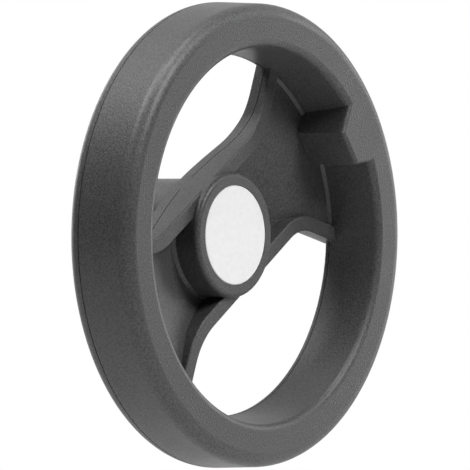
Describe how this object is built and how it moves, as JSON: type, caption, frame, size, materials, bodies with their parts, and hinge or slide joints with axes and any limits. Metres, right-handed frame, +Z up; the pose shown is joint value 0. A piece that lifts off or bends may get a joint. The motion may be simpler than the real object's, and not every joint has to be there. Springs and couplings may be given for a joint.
{
  "type": "handwheel",
  "caption": "Machine handwheel in dark grey plastic with a rounded rim, dished ribbed spokes, a hexagonal boss beside the rim and a light cover cap over the hub.",
  "frame": {"origin": "on the bore's axis, in the plane of the moulded back face of the hub, where the straight wall of the bore begins", "axes": "+Y along the bore's axis, out of the back of the hub; the operator side faces -Y; +Z up, with the wheel standing upright and the hexagonal boss at the upper right seen from the operator side, as in the picture"},
  "size_m": [0.1596, 0.0505, 0.1596],
  "materials": {
    "shell": "matt, fine spark-eroded grain",
    "bush": "turned",
    "cap": "smooth satin"
  },
  "bodies": {
    "root": {"front_shell": "shell", "back_shell": "shell", "hub_bush": "bush", "cover_cap": "cap"}
  },
  "joints": []
}
